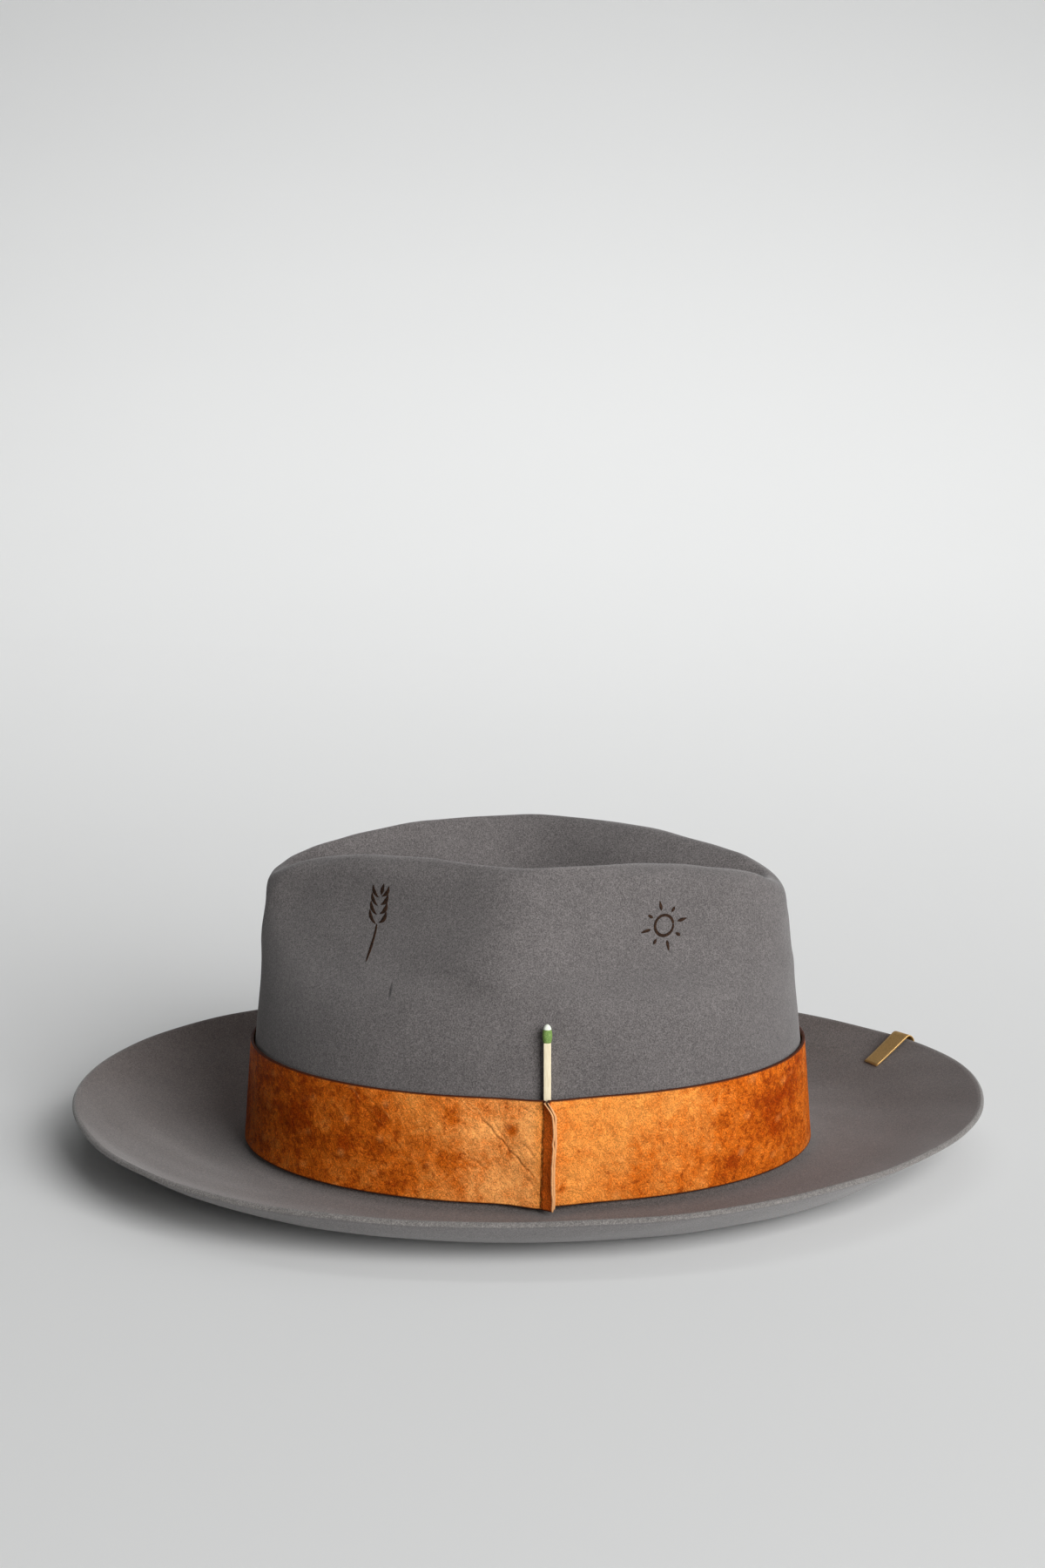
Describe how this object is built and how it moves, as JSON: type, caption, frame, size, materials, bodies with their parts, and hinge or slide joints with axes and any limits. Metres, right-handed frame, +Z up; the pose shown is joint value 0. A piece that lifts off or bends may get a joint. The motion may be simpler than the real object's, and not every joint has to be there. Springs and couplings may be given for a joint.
{
  "type": "felt fedora hat",
  "caption": "Grey felt fedora with a diamond-creased crown, an upturned dished brim, a tan leather band with a raised seam, a match tucked behind it and a brass clip on the brim.",
  "frame": {"origin": "under the middle of the hat's outline, on the surface that it rests on", "axes": "+Z up, the front of the hat faces -Y and its back +Y, the wearer's left side faces +X"},
  "size_m": [0.2878, 0.338, 0.1165],
  "materials": {
    "felt": "matt blocked fur felt, brushed nap",
    "leather": "vegetable-tanned, mottled tan, low sheen",
    "match_wood": "bare pale aspen",
    "match_green": "dull green striking compound",
    "match_white": "dull white striking compound",
    "brass": "satin brass"
  },
  "bodies": {
    "root": {"felt_body": "felt", "leather_band": "leather", "match_stick": "match_wood", "match_head": "match_green", "match_tip": "match_white", "brim_clip": "brass"}
  },
  "joints": []
}
